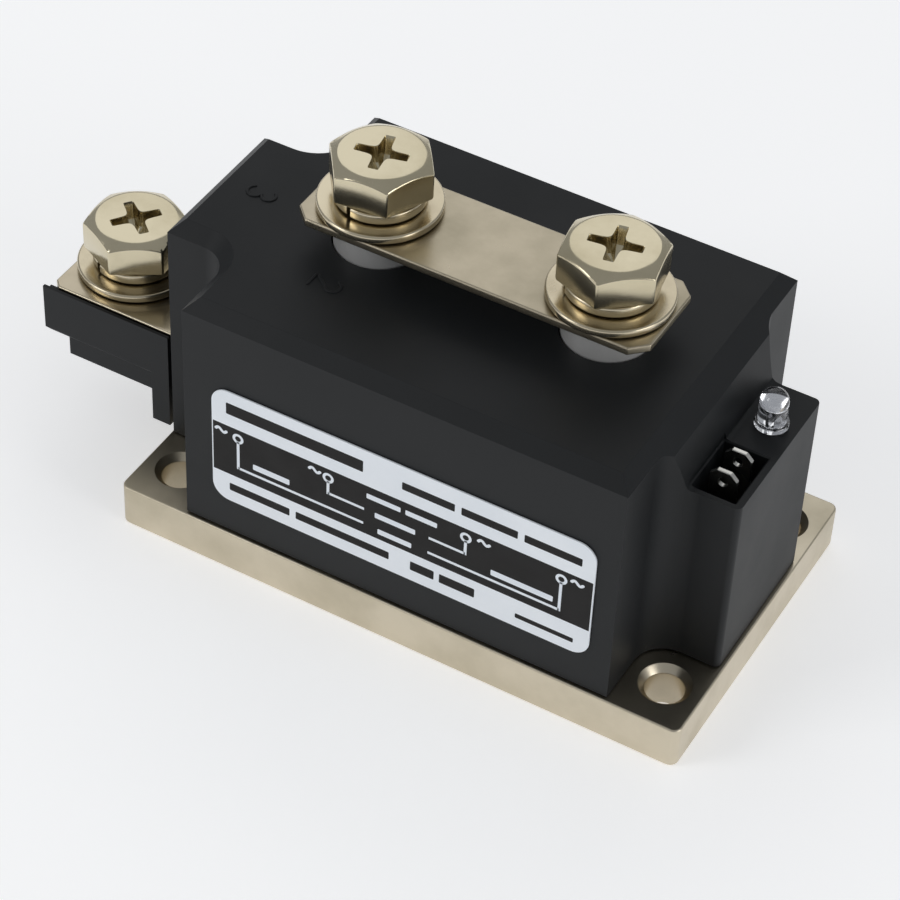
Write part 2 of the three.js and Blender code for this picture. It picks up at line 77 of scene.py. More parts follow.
def new_material(name):
    """An empty node material and its Principled shader."""
    material = bpy.data.materials.new(name)
    material.use_nodes = True
    shader = material.node_tree.nodes["Principled BSDF"]
    return material, shader


def add_node(material, kind, links=None, **values):
    """One node. links maps an input name to the output that feeds it, values set inputs or settings."""
    node = material.node_tree.nodes.new(kind)
    for key, value in values.items():
        if key in node.inputs:
            node.inputs[key].default_value = value
        elif hasattr(node, key):
            setattr(node, key, value)
        else:
            node.inputs[key.replace("_", " ")].default_value = value
    for key, output in (links or {}).items():
        material.node_tree.links.new(output, node.inputs[key])
    return node


def feed(material, output, shader, socket):
    """An output joined to one of the shader's inputs."""
    material.node_tree.links.new(output, shader.inputs[socket])


def object_noise(material, scale, detail=3.0, rough=0.5, stretch=(1, 1, 1)):
    """Noise in object space, stretched along the axes; its value output is returned."""
    place = add_node(material, "ShaderNodeTexCoord").outputs["Object"]
    spread = add_node(material, "ShaderNodeMapping", {"Vector": place}, Scale=stretch)
    return add_node(material, "ShaderNodeTexNoise", {"Vector": spread.outputs["Vector"]},
                    Scale=scale, Detail=detail, Roughness=rough).outputs["Fac"]


def ramp(material, value, stops):
    """Colour ramp with the stops (place, colour)."""
    node = add_node(material, "ShaderNodeValToRGB", {"Fac": value})
    while len(node.color_ramp.elements) < len(stops):
        node.color_ramp.elements.new(0.5)
    for element, (place, colour) in zip(node.color_ramp.elements, stops):
        element.position = place
        element.color = (*colour, 1.0)
    return node.outputs["Color"]


floor_material, floor_shader = new_material("studio_paper")
paper_tone = ramp(floor_material, object_noise(floor_material, 3.0),
                  [(0.35, (0.92, 0.92, 0.925)), (0.65, (0.94, 0.94, 0.94))])
feed(floor_material, paper_tone, floor_shader, "Base Color")
floor_shader.inputs["Roughness"].default_value = 0.9
floor_shader.inputs["Emission Color"].default_value = (1.0, 1.0, 1.0, 1.0)
floor_shader.inputs["Emission Strength"].default_value = 0.40
floor_mesh = bpy.data.meshes.new("floor")
floor_mesh.from_pydata([(x * FLOOR_HALF, y * FLOOR_HALF, FLOOR_Z)
                        for x, y in ((-1, -1), (1, -1), (1, 1), (-1, 1))], [], [(0, 1, 2, 3)])
floor_mesh.materials.append(floor_material)
floor = bpy.data.objects.new("floor", floor_mesh)
bpy.context.collection.objects.link(floor)

world = bpy.data.worlds.new("studio")
world.use_nodes = True
world.node_tree.nodes["Background"].inputs["Color"].default_value = (0.93, 0.96, 1.0, 1.0)
world.node_tree.nodes["Background"].inputs["Strength"].default_value = 0.36
bpy.context.scene.world = world


def soft_box(name, place, width, height, power):
    """A rectangular lamp at place that faces LAMP_AIM."""
    data = bpy.data.lights.new(name, "AREA")
    data.shape = "RECTANGLE"
    data.size = width
    data.size_y = height
    data.energy = power
    lamp = bpy.data.objects.new(name, data)
    back = np.array(place, float) - np.array(LAMP_AIM)
    turn = Vector(back).to_track_quat("Z", "Y").to_matrix().to_4x4()
    lamp.matrix_world = Matrix.Translation(place) @ turn
    bpy.context.collection.objects.link(lamp)


soft_box("box_back", (-0.45, 0.95, 0.85), 1.3, 0.8, 2.1)
soft_box("box_right", (1.0, -0.1, 0.35), 0.5, 0.4, 2.0)
soft_box("box_left", (-0.7, -0.7, 0.6), 0.4, 0.6, 2.4)


# ---- base plate ----
# A thick rolled steel plate, nickel plated, with its edges just broken and four countersunk holes
# for the heat sink screws. The case is bonded down on it.
MM = 0.001
PLATE_CORNER = 1.6
PLATE_EDGE = 0.35
HOLE_PLACES = [(sx * 46.5, sy * 21.9) for sx in (-1, 1) for sy in (-1, 1)]
HOLE_R = 3.3
HOLE_RIM_R = 4.45
HOLE_RIM_DEEP = 1.3


def box_mm(node):
    """Lowest and highest corner of a CAD node in millimetres."""
    low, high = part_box(node)
    return np.array(low) / MM, np.array(high) / MM


def circle(x, y, r, count=64, start=0.0):
    """count points evenly round a circle, anticlockwise."""
    a = start + np.linspace(0, 2 * np.pi, count, endpoint=False)
    return np.stack([x + r * np.cos(a), y + r * np.sin(a)], 1)


def rounded(corners, radii, steps=8):
    """A closed outline whose corners are arcs: each arc's centre lies on the corner's bisector, and
    the arc runs from one edge's tangent point to the other's."""
    corners = np.array(corners, float)
    radii = np.broadcast_to(np.array(radii, float), len(corners))
    out = []
    for p, q, s, r in zip(np.roll(corners, 1, 0), corners, np.roll(corners, -1, 0), radii):
        if r <= 0:
            out.append(q[None])
            continue
        u = (p - q) / np.linalg.norm(p - q)
        v = (s - q) / np.linalg.norm(s - q)
        half = np.arccos(np.clip(u @ v, -1, 1)) / 2
        centre = q + (u + v) / np.linalg.norm(u + v) * r / np.sin(half)
        first, last = q + u * r / np.tan(half) - centre, q + v * r / np.tan(half) - centre
        a0 = np.arctan2(first[1], first[0])
        turn = (np.arctan2(last[1], last[0]) - a0 + np.pi) % (2 * np.pi) - np.pi
        a = a0 + turn * np.linspace(0, 1, steps + 1)
        out.append(centre + r * np.stack([np.cos(a), np.sin(a)], 1))
    return np.concatenate(out)


def inset(loop, d):
    """Each point of an anticlockwise outline moves inwards by d along its mitre: the sum of its two
    edge normals over one plus their product."""
    edge = np.roll(loop, -1, 0) - loop
    edge /= np.linalg.norm(edge, axis=1)[:, None]
    n = np.stack([-edge[:, 1], edge[:, 0]], 1)
    m = np.roll(n, 1, 0)
    return loop + d * (n + m) / (1 + (n * m).sum(1))[:, None]


def rings(loop, profile):
    """An outline carried along a profile of (inset, height): one ring of points for each pair."""
    return np.stack([np.column_stack([inset(loop, d), np.full(len(loop), z)]) for d, z in profile])


def grid_quads(rows, columns, offset=0, close_rows=False):
    """Quads between neighbouring rings of a grid whose columns run round and close."""
    r = np.arange(rows if close_rows else rows - 1)[:, None]
    c = np.arange(columns)[None]
    a = r * columns + c
    b = r * columns + (c + 1) % columns
    up = ((r + 1) % rows) * columns - r * columns
    return (np.stack([a, b, b + up, a + up], -1).reshape(-1, 4) + offset).tolist()


def edge_round(radius, low, high, steps=3):
    """Profile up a wall from low to high whose two edges are quarter rounds of that radius."""
    a = np.linspace(0, np.pi / 2, steps + 1)
    under = [(radius * (1 - np.sin(t)), low + radius * (1 - np.cos(t))) for t in a]
    over = [(radius * (1 - np.cos(t)), high - radius * (1 - np.sin(t))) for t in a]
    return under + over


def slab(loop, profile, holes=()):
    """A closed slab: its outline carried along profile, with holes given as (outline, profile) whose
    walls run between the same two faces. A hole's outline is anticlockwise and its insets are negative
    where it widens. The two faces are filled between the outer and inner rings."""
    points, faces, start = [], [], 0
    tops, bottoms = [], []
    for outline, path in [(loop, profile), *holes]:
        ring = rings(outline, path)
        rows, columns = ring.shape[:2]
        points.append(ring.reshape(-1, 3))
        faces += grid_quads(rows, columns, start)
        bottoms.append((ring[0], start))
        tops.append((ring[-1], start + (rows - 1) * columns))
        start += rows * columns
    for caps in (bottoms, tops):
        index = np.concatenate([np.arange(len(r)) + s for r, s in caps])
        triangles = tessellate_polygon([[tuple(p) for p in r] for r, _ in caps])
        faces += [[int(index[i]) for i in t] for t in triangles]
    return np.concatenate(points), faces


def build_mesh(name, points, faces, unit=MM):
    """Points in millimetres and faces into a mesh, in metres unless unit says otherwise: doubles
    merged, faces turned outwards."""
    mesh = bpy.data.meshes.new(name)
    mesh.from_pydata((np.asarray(points) * unit).tolist(), [], faces)
    b = bmesh.new()
    b.from_mesh(mesh)
    bmesh.ops.remove_doubles(b, verts=b.verts, dist=1e-4 * unit)
    bmesh.ops.dissolve_degenerate(b, edges=b.edges, dist=1e-5 * unit)
    bmesh.ops.recalc_face_normals(b, faces=b.faces)
    b.to_mesh(mesh)
    b.free()
    return mesh


def place_piece(name, mesh, material, body, replaced=(), sharp=32.0, weighted=True):
    """A finished piece: smooth shading broken at sharp edges, its material, and what the frame has to
    know about it."""
    mesh.polygons.foreach_set("use_smooth", np.ones(len(mesh.polygons), bool))
    mesh.set_sharp_from_angle(angle=math.radians(sharp))
    mesh.materials.clear()
    mesh.materials.append(material)
    piece = bpy.data.objects.new(name, mesh)
    bpy.context.collection.objects.link(piece)
    if weighted:
        shade = piece.modifiers.new("flat_faces_stay_flat", "WEIGHTED_NORMAL")
        shade.keep_sharp = True
    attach(piece, body)
    if replaced:
        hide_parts(*replaced)
    return piece


def rescale(material, value, low, high, from_low=0.3, from_high=0.7):
    """The part of a value between from_low and from_high spread over low to high."""
    return add_node(material, "ShaderNodeMapRange", {"Value": value}, From_Min=from_low,
                    From_Max=from_high, To_Min=low, To_Max=high).outputs["Result"]


def bump(material, shader, *layers):
    """Bump layers (height, strength, distance) one over the other, into the shader's normal."""
    normal = None
    for height, strength, distance in layers:
        links = {"Height": height} if normal is None else {"Height": height, "Normal": normal}
        normal = add_node(material, "ShaderNodeBump", links, Strength=strength,
                          Distance=distance).outputs["Normal"]
    feed(material, normal, shader, "Normal")


def plated_metal(name, light, dark, rough, grain=(1, 1, 1), speckle=0.0, stain=0.35, metal=1.0):
    """Nickel plating over rolled or turned metal: cloudy tint, uneven polish, fine grain and pits."""
    material, shader = new_material(name)
    clouds = object_noise(material, 55.0, 6.0, 0.6)
    fine = object_noise(material, 900.0, 4.0, 0.6, grain)
    colour = ramp(material, clouds, [(0.32, dark), (0.5 + stain / 4, light), (0.9, light)])
    feed(material, colour, shader, "Base Color")
    shader.inputs["Metallic"].default_value = metal
    feed(material, rescale(material, clouds, rough * 1.25, rough * 0.8), shader, "Roughness")
    pits = object_noise(material, 420.0, 2.0, 0.5)
    bump(material, shader, (fine, 0.12, 0.00003),
         (rescale(material, pits, 0.0, 1.0, 0.25, 0.42), 0.02 + speckle, 0.00003))
    return material


base_material = plated_metal("base_plating", (0.66, 0.59, 0.46), (0.55, 0.49, 0.37), 0.34,
                             (1, 1, 0.15), 0.1)
plate_low, plate_high = box_mm("base_plate")
plate_loop = rounded([(plate_low[0], plate_low[1]), (plate_high[0], plate_low[1]),
                      (plate_high[0], plate_high[1]), (plate_low[0], plate_high[1])], PLATE_CORNER, 6)
thick = plate_high[2]
hole_path = [(-0.2, 0.0), (0.0, 0.2), (0.0, thick - HOLE_RIM_DEEP), (-0.08, thick - 1.12),
             (HOLE_R - HOLE_RIM_R + 0.1, thick - 0.12), (HOLE_R - HOLE_RIM_R - 0.05, thick)]
plate_points, plate_faces = slab(plate_loop, edge_round(PLATE_EDGE, 0.0, thick),
                                 [(circle(x, y, HOLE_R), hole_path) for x, y in HOLE_PLACES])
place_piece("base_plate_plated", build_mesh("base_plate_plated", plate_points, plate_faces),
            base_material, "relay", ["base_plate"])


# ---- case ----
# One thermoset moulding, dull charcoal with slightly broken edges. It has four screwdriver notches,
# a terminal ledge at one end and a low control block at the other, and it is open underneath.
CASE_LOW = 8.6
CASE_TOP = box_mm("case_shell")[1][2]
CASE_X, CASE_Y = 40.0, 29.8
CASE_CHAMFER = 2.3
NECK_Y, NECK_R = 14.8, 5.6
END_CORNER = 1.1
LEFT_X, BLOCK_X, BLOCK_TOP = -52.7, 52.4, 44.4
RAMP_TOP, RAMP_LOW = (41.3, 51.8), (43.2, 45.3)
LEDGE_X, LEDGE_Y, LEDGE_TOP, LEDGE_LOW = -80.4, 12.9, 26.2, 18.4
LIP, LIP_TOP = 0.6, 27.6
SLAB_X, SLAB_LOW = -75.9, 13.7
RIB_OUT, RIB_IN, RIB_LOW = -58.3, -54.7, 7.5
WALL = 2.6
MOULD_EDGE = 0.28
EAR_X, EAR_WIDE = -78.9, 2.4
END_OVERLAP = 6
POCKET = (43.3, 51.0, -13.7, -1.8)
POCKET_FLOOR = 33.4
LAMP_X, LAMP_Y = 48.0, 5.3
TAB_X, TAB_Y = 47.05, (-9.6, -4.3)
POST_X = (-21.3, 20.6)
POST_R = 7.5
BOLT_1_X = -69.4
STRAP_LOW, STRAP_HIGH = 26.5, 28.0
LEAD_SIDE, LEAD_HOLE_R = 1.27, 0.65
NUT_FLATS, NUT_DEEP = 16.6, 8.6
BORE_R = 5.25
CLEARANCE = 0.3


def arc(x, y, r, first, last, steps=14):
    """Points on a circle's arc between two angles in degrees."""
    a = np.radians(np.linspace(first, last, steps + 1))
    return np.stack([x + r * np.cos(a), y + r * np.sin(a)], 1)


def notched_end(x, side):
    """The outline of an end part, from the front notch round the end wall to the back notch."""
    cx, cy = side * (CASE_X + NECK_R), NECK_Y + NECK_R
    inner = 180 if side > 0 else 0
    front = arc(cx, -cy, NECK_R, inner, 90)
    back = arc(cx, cy, NECK_R, 270, 180 if side > 0 else 360)
    if side > 0:
        low = arc(x - END_CORNER, END_CORNER - NECK_Y, END_CORNER, 270, 360, 6)
        high = arc(x - END_CORNER, NECK_Y - END_CORNER, END_CORNER, 0, 90, 6)
    else:
        low, high = [(x, -NECK_Y)], [(x, NECK_Y)]
    loop = np.concatenate([front, low, high, back])
    return loop if side > 0 else loop[::-1]


def temporary(points, faces):
    """A blank or a cutter, in millimetres while the shape is worked."""
    piece = bpy.data.objects.new("blank", build_mesh("blank", points, faces, 1.0))
    bpy.context.collection.objects.link(piece)
    return piece


def block(x0, x1, y0, y1, z0, z1):
    """A box between two corners."""
    loop = np.array([(x0, y0), (x1, y0), (x1, y1), (x0, y1)], float)
    return temporary(*slab(loop, [(0, z0), (0, z1)]))


def drum(x, y, r, z0, z1, count=64):
    """An upright cylinder between two heights."""
    return temporary(*slab(circle(x, y, r, count), [(0, z0), (0, z1)]))


def settle(target):
    """The modifiers of a blank worked into its mesh."""
    depsgraph = bpy.context.evaluated_depsgraph_get()
    mesh = bpy.data.meshes.new_from_object(target.evaluated_get(depsgraph))
    target.modifiers.clear()
    target.data = mesh


def boolean(target, tools, operation="UNION"):
    """The target joined with, cut by or cut to the tools; the tools are used up."""
    for tool in tools:
        step = target.modifiers.new("step", "BOOLEAN")
        step.solver = "EXACT"
        step.operation = operation
        step.object = tool
    settle(target)
    for tool in tools:
        bpy.data.objects.remove(tool)
    return target


def tidy_faces(target):
    """Flat neighbours become one face, so that an edge finish sees only real edges."""
    b = bmesh.new()
    b.from_mesh(target.data)
    bmesh.ops.remove_doubles(b, verts=b.verts, dist=0.002)
    bmesh.ops.dissolve_limit(b, angle_limit=math.radians(0.6), verts=b.verts, edges=b.edges)
    b.to_mesh(target.data)
    b.free()


def break_edges(target, width, segments=3):
    """A small round on every sharp edge."""
    tidy_faces(target)
    step = target.modifiers.new("edges", "BEVEL")
    step.width = width
    step.segments = segments
    step.limit_method = "ANGLE"
    step.angle_limit = math.radians(24)
    step.miter_outer = "MITER_ARC"
    settle(target)


def finished(target):
    """A blank's mesh taken to metres; the blank itself goes."""
    mesh = target.data
    mesh.transform(Matrix.Scale(MM, 4))
    bpy.data.objects.remove(target)
    return mesh


body_loop = np.concatenate([[(-CASE_X, -CASE_Y), (CASE_X, -CASE_Y), (CASE_X, CASE_Y), (-CASE_X, CASE_Y)],
                            notched_end(LEFT_X, -1)])
body_path = [(0, CASE_LOW), (0, CASE_TOP - CASE_CHAMFER), (CASE_CHAMFER, CASE_TOP)]
case = temporary(*slab(body_loop, body_path))
end_loop = np.concatenate([[(CASE_X - END_OVERLAP, -NECK_Y - NECK_R)], notched_end(BLOCK_X, 1),
                           [(CASE_X - END_OVERLAP, NECK_Y + NECK_R)]])
low_block = temporary(*slab(end_loop, [(0, CASE_LOW), (0, BLOCK_TOP)]))
end_wall = temporary(*slab(end_loop, [(0, BLOCK_TOP - 2), (0, CASE_TOP)]))
side_view = np.array([(CASE_X - 5, BLOCK_TOP - 3), (RAMP_LOW[0] + 0.9, BLOCK_TOP - 3),
                      (RAMP_LOW[0] + 0.9, BLOCK_TOP), (RAMP_LOW[0] + 0.25, BLOCK_TOP + 0.25),
                      RAMP_LOW, RAMP_TOP, (CASE_X - 1.5, CASE_TOP - CASE_CHAMFER + 1.5),
                      (CASE_X - 5, CASE_TOP - 0.8)])
ramp_points, ramp_faces = slab(side_view, [(0, -25), (0, 25)])
ramp_wedge = temporary(ramp_points[:, [0, 2, 1]], ramp_faces)
boolean(end_wall, [ramp_wedge], "INTERSECT")
tray_loop = np.array([(LEDGE_X, -LEDGE_Y), (RIB_IN, -LEDGE_Y), (RIB_IN, LEDGE_Y), (LEDGE_X, LEDGE_Y)])
tray = temporary(*slab(tray_loop, [(0.7, LEDGE_LOW - 0.9), (0, LEDGE_LOW), (0, LIP_TOP)]))
strap_seat = block(LEDGE_X - 1, RIB_IN + 1, -LEDGE_Y + LIP, LEDGE_Y - LIP, LEDGE_TOP, LIP_TOP + 1)
between_ears = block(LEDGE_X - 1, EAR_X, -LEDGE_Y + EAR_WIDE, LEDGE_Y - EAR_WIDE, 0, LIP_TOP + 2)
boolean(tray, [strap_seat, between_ears], "DIFFERENCE")
ledge = [
    tray,
    block(SLAB_X, RIB_IN, -LEDGE_Y + 0.7, LEDGE_Y - 0.7, SLAB_LOW, LEDGE_LOW + 0.5),
    block(RIB_OUT, RIB_IN, -LEDGE_Y, LEDGE_Y, RIB_LOW, LEDGE_LOW + 2),
    block(RIB_IN - 1, LEFT_X + 1.2, -LEDGE_Y + 2.6, LEDGE_Y - 2.6, SLAB_LOW, LEDGE_TOP),
]
boolean(case, [low_block, end_wall, *ledge])
break_edges(case, MOULD_EDGE)

pocket_loop = np.array([(POCKET[0], POCKET[2]), (POCKET[1], POCKET[2]), (POCKET[1], POCKET[3]),
                        (POCKET[0], POCKET[3])])
pocket = temporary(*slab(pocket_loop, [(0, POCKET_FLOOR), (0, BLOCK_TOP - 0.25), (-0.25, BLOCK_TOP),
                                       (-0.25, BLOCK_TOP + 2)]))
room = [block(-CASE_X + WALL, CASE_X - WALL, -CASE_Y + WALL, CASE_Y - WALL, 0, CASE_TOP - WALL),
        block(LEFT_X + WALL, 0, -NECK_Y + WALL, NECK_Y - WALL, -1, CASE_TOP - WALL - 0.01),
        block(0, BLOCK_X - 1.6, -NECK_Y + WALL, NECK_Y - WALL, -1, POCKET_FLOOR - 2),
        block(0, BLOCK_X - 1.6, POCKET[3] + 1.5, NECK_Y - WALL, -2, BLOCK_TOP - 2.2)]
small_cuts = [pocket]
small_cuts += [block(TAB_X - 2.7, TAB_X + 2.7, y - 0.7, y + 0.7, 30, 34) for y in TAB_Y]
small_cuts += [drum(LAMP_X, LAMP_Y + d, LEAD_HOLE_R, 40, BLOCK_TOP + 1, 24)
               for d in (-LEAD_SIDE, LEAD_SIDE)]
small_cuts += [drum(x, 0, POST_R + CLEARANCE, 50, 60, 96) for x in POST_X]
nut_loop = circle(BOLT_1_X, 0, NUT_FLATS / math.sqrt(3), 6, math.radians(30))
small_cuts += [block(LEFT_X - 1, -48, -12.3, 12.3, STRAP_LOW - CLEARANCE, STRAP_HIGH + CLEARANCE),
               temporary(*slab(nut_loop, [(0, LEDGE_TOP - NUT_DEEP), (0, LEDGE_TOP + 1)])),
               drum(BOLT_1_X, 0, BORE_R, SLAB_LOW + 1.2, LEDGE_TOP)]
boolean(case, [boolean(room[0], room[1:]), *small_cuts], "DIFFERENCE")
tidy_faces(case)

case_material, case_shader = new_material("case_plastic")
case_clouds = object_noise(case_material, 38.0, 5.0, 0.6)
case_grain = object_noise(case_material, 2600.0, 2.0, 0.5)
case_tone = ramp(case_material, case_clouds,
                 [(0.3, (0.0072, 0.0082, 0.0092)), (0.7, (0.0100, 0.0112, 0.0122))])
feed(case_material, case_tone, case_shader, "Base Color")
feed(case_material, rescale(case_material, case_clouds, 0.46, 0.56), case_shader, "Roughness")
case_shader.inputs["Specular IOR Level"].default_value = 0.28
bump(case_material, case_shader, (case_grain, 0.18, 0.00003), (case_clouds, 0.06, 0.0004))
place_piece("case_moulding", finished(case), case_material, "relay", ["case_shell"])


# ---- moulded terminal numbers ----
# Two shallow digits stand up from the case top, cut into the mould with a round tool. They read from
# the ledge end, so their tops point along the relay.
DIGIT_STROKE = 0.5
DIGIT_HIGH = 0.2


def ribbon(path, width):
    """The outline of a stroke: an open path moved half its width to each side, with round ends."""
    way = np.gradient(path, axis=0)
    way /= np.linalg.norm(way, axis=1)[:, None]
    side = np.stack([-way[:, 1], way[:, 0]], 1) * width / 2
    a = np.linspace(0, np.pi, 7)[1:-1, None]
    end = path[-1] - side[-1] * np.cos(a) + way[-1] * width / 2 * np.sin(a)
    start = path[0] + side[0] * np.cos(a) - way[0] * width / 2 * np.sin(a)
    return np.concatenate([path - side, end, (path + side)[::-1], start])


def joined(parts):
    """Several (points, faces) as one."""
    points, faces, start = [], [], 0
    for p, f in parts:
        points.append(np.asarray(p, float))
        faces += [[i + start for i in face] for face in f]
        start += len(p)
    return np.concatenate(points), faces


three = np.concatenate([arc(-0.25, 1.3, 1.25, 150, -80, 16), arc(-0.25, -1.3, 1.35, 80, -150, 16)])
two = np.concatenate([arc(0, 1.25, 1.35, 165, -30, 14), np.linspace((0.7, 0.2), (-1.35, -2.3), 6),
                      np.linspace((-1.2, -2.55), (1.5, -2.6), 5)])
digit_path = [(0, -0.05), (0, DIGIT_HIGH * 0.5), (0.12, DIGIT_HIGH)]
digits = []
for path, x, y in ((three, -43.5, -0.7), (two, -22.6, -14.3)):
    turned_path = np.stack([x + path[:, 1], y - path[:, 0]], 1)
    digits.append(slab(ribbon(turned_path, DIGIT_STROKE), digit_path))
digit_points, digit_faces = joined(digits)
digit_points[:, 2] += CASE_TOP
place_piece("case_digits", build_mesh("case_digits", digit_points, digit_faces), case_material,
            "relay")


# ---- label ----
# A white polyester film glued to the front wall, with a dark band and a plain wiring picture printed
# on it: four ringed terminals, their wires and wave signs, and bars where the wording would stand.
LABEL_FRONT = -30.15
LABEL_BACK = -29.9
INK = 0.02
BAND = (22.0, 32.7)
WIRE = 0.52
RING_Z, WIRE_TOP, WAVE_Z = 30.75, 29.8, 31.25
label_low, label_high = box_mm("label_plate")
label_loop = rounded([(label_low[0], label_low[2]), (label_high[0], label_low[2]),
                      (label_high[0], label_high[2]), (label_low[0], label_high[2])], 3.2, 10)


def on_front(parts, back, front):
    """Slabs drawn in X and Z stand on the front wall between two depths."""
    points, faces = joined([slab(loop, [(0, 0), (0, 1)], holes) for loop, holes in parts])
    return np.column_stack([points[:, 0], back + (front - back) * points[:, 2], points[:, 1]]), faces


def bar(x0, x1, z, high, r=0.18):
    """A level bar centred at height z, as an outline and its (no) holes."""
    low, top = z - high / 2, z + high / 2
    return rounded([(x0, low), (x1, low), (x1, top), (x0, top)], r, 4), []


def printed(name, rough, dark, light, scale):
    """Printed film or ink: a slightly uneven tone and gloss."""
    material, shader = new_material(name)
    tone = object_noise(material, scale, 4.0)
    feed(material, ramp(material, tone, [(0.35, dark), (0.65, light)]), shader, "Base Color")
    feed(material, rescale(material, tone, rough * 0.9, rough * 1.15), shader, "Roughness")
    shader.inputs["Specular IOR Level"].default_value = 0.25
    bump(material, shader, (object_noise(material, 1500.0, 2.0), 0.05, 0.00002))
    return material


film_material = printed("label_film", 0.42, (0.86, 0.90, 0.945), (0.90, 0.935, 0.975), 120.0)
ink_dark = printed("label_ink_dark", 0.6, (0.0090, 0.0082, 0.0080), (0.0120, 0.0108, 0.0105), 200.0)
ink_light = printed("label_ink_light", 0.5, (0.82, 0.87, 0.93), (0.87, 0.91, 0.96), 200.0)

film = on_front([(label_loop, [])], LABEL_BACK, LABEL_FRONT)
place_piece("label_film", build_mesh("label_film", *film), film_material, "relay",
            ["label_plate"])
dark_bars = [(-31.6, -5.8, 36.55, 2.4),
             (1.4, 11.0, 36.1, 1.6), (12.2, 22.3, 36.1, 1.6), (23.5, 33.7, 36.1, 1.6),
             (-31.1, -19.5, 19.2, 1.6), (-18.3, -0.6, 19.2, 1.6), (3.4, 7.8, 19.2, 1.9),
             (8.8, 15.3, 19.2, 1.9), (22.8, 33.3, 18.4, 0.95)]
dark_print = [bar(label_low[0] + 0.22, label_high[0] - 0.22, sum(BAND) / 2, BAND[1] - BAND[0], 0.05)]
dark_print += [bar(*b) for b in dark_bars]
dark_surface = on_front(dark_print, LABEL_FRONT, LABEL_FRONT - INK)
place_piece("label_print_dark", build_mesh("label_print_dark", *dark_surface), ink_dark, "relay")

light_print = []
for x, foot, reach, wave in ((-29.35, 24.2, -5.5, -32.6), (-12.2, 27.4, -5.4, -14.75),
                             (13.25, 27.2, 6.6, 16.5), (30.4, 23.9, 6.5, 33.2)):
    light_print.append((circle(x, RING_Z, 1.05, 40), [(circle(x, RING_Z, 0.55, 40), [(0, 0), (0, 1)])]))
    light_print.append(bar(x - WIRE / 2, x + WIRE / 2, (foot + WIRE_TOP) / 2, WIRE_TOP - foot + WIRE, 0.02))
    light_print.append(bar(min(x, reach), max(x, reach), foot, WIRE, 0.02))
    t = np.linspace(-1, 1, 17)
    light_print.append((ribbon(np.stack([wave + t, WAVE_Z + 0.36 * np.sin(-np.pi * t)], 1), 0.55), []))
light_bars = [(-26.5, -19.5, 25.95, 1.2), (-5.0, 1.3, 30.6, 1.05), (2.2, 8.0, 30.6, 1.05),
              (-3.4, 4.1, 27.05, 1.1), (-2.8, 3.5, 23.7, 1.1), (18.0, 29.2, 25.6, 1.2)]
light_print += [bar(*b) for b in light_bars]
light_surface = on_front(light_print, LABEL_FRONT - INK, LABEL_FRONT - 2 * INK)
place_piece("label_print_light", build_mesh("label_print_light", *light_surface), ink_light, "relay")


# ---- terminal strap ----
# Plated copper strap, 1.5 mm thick, that comes out of the case over the ledge. Its outer corners are
# cut off, its edges are rounded from stamping, and a leg goes down inside the case.
STRAP_CORNER = 1.4
STEP_X, STRAP_STEP = -53.5, 0.4
strap_low, strap_high = box_mm("terminal_1_strap")
strap_material = plated_metal("strap_plating", (0.58, 0.51, 0.385), (0.47, 0.41, 0.30), 0.24,
                              (1, 1, 1), 0.12)
x0, x1, y1 = strap_low[0], strap_high[0], strap_high[1]
neck = y1 - STRAP_STEP
strap_corners = [(x0 + STRAP_CORNER, -y1), (STEP_X, -y1), (STEP_X, -neck), (x1, -neck), (x1, neck),
                 (STEP_X, neck), (STEP_X, y1), (x0 + STRAP_CORNER, y1), (x0, y1 - STRAP_CORNER),
                 (x0, -y1 + STRAP_CORNER)]
strap_loop = rounded(strap_corners, [0.3] + [0] * 6 + [0.3] * 3, 3)
strap_path = edge_round(0.28, STRAP_LOW, STRAP_HIGH)
strap_hole = [(-0.3, STRAP_LOW), (0, STRAP_LOW + 0.3), (0, STRAP_HIGH - 0.3), (-0.3, STRAP_HIGH)]
strap = temporary(*slab(strap_loop, strap_path, [(circle(BOLT_1_X, 0, BORE_R), strap_hole)]))
boolean(strap, [block(x1 - 2, x1 - 0.01, -8, 8, strap_low[2], STRAP_LOW + 1)])
place_piece("terminal_strap_plated", finished(strap), strap_material, "relay",
            ["terminal_1_strap"])


# ---- posts ----
# Two turned posts stand up through the case top, held by a flange moulded in under the roof. Each is
# tapped for a terminal screw.
post_material = plated_metal("post_plating", (0.80, 0.79, 0.77), (0.66, 0.65, 0.63), 0.42,
                             (1, 1, 0.05), metal=0.55)


def turned(x, profile, count=96):
    """A profile of (radius, height) points carried once round the upright axis at x."""
    a = np.linspace(0, 2 * np.pi, count, endpoint=False)
    profile = np.array(profile, float)
    r, z = profile[:, :1], profile[:, 1:]
    points = np.stack([x + r * np.cos(a), r * np.sin(a), z + 0 * a], -1).reshape(-1, 3)
    closed = bool(np.all(profile[[0, -1], 0] > 0))
    return points, grid_quads(len(profile), count, 0, closed)


for number, x in zip((2, 3), POST_X):
    low, high = box_mm(f"post_{number}")
    flange = CASE_TOP - WALL - 0.3
    profile = [(0, low[2]), (POST_R - 0.3, low[2]), (POST_R, low[2] + 0.3), (POST_R, flange - 3.2),
               (POST_R + 2, flange - 3.2), (POST_R + 2, flange), (POST_R, flange), (POST_R, high[2] - 0.55),
               (POST_R - 0.12, high[2] - 0.22), (POST_R - 0.35, high[2] - 0.05), (POST_R - 0.6, high[2]),
               (BORE_R + 0.65, high[2]), (BORE_R, high[2] - 0.6), (BORE_R, low[2] + 2.2),
               (0, low[2] + 1.2)]
    name = f"post_{number}_turned"
    place_piece(name, build_mesh(name, *turned(x, profile)), post_material, "relay",
                [f"post_{number}"])


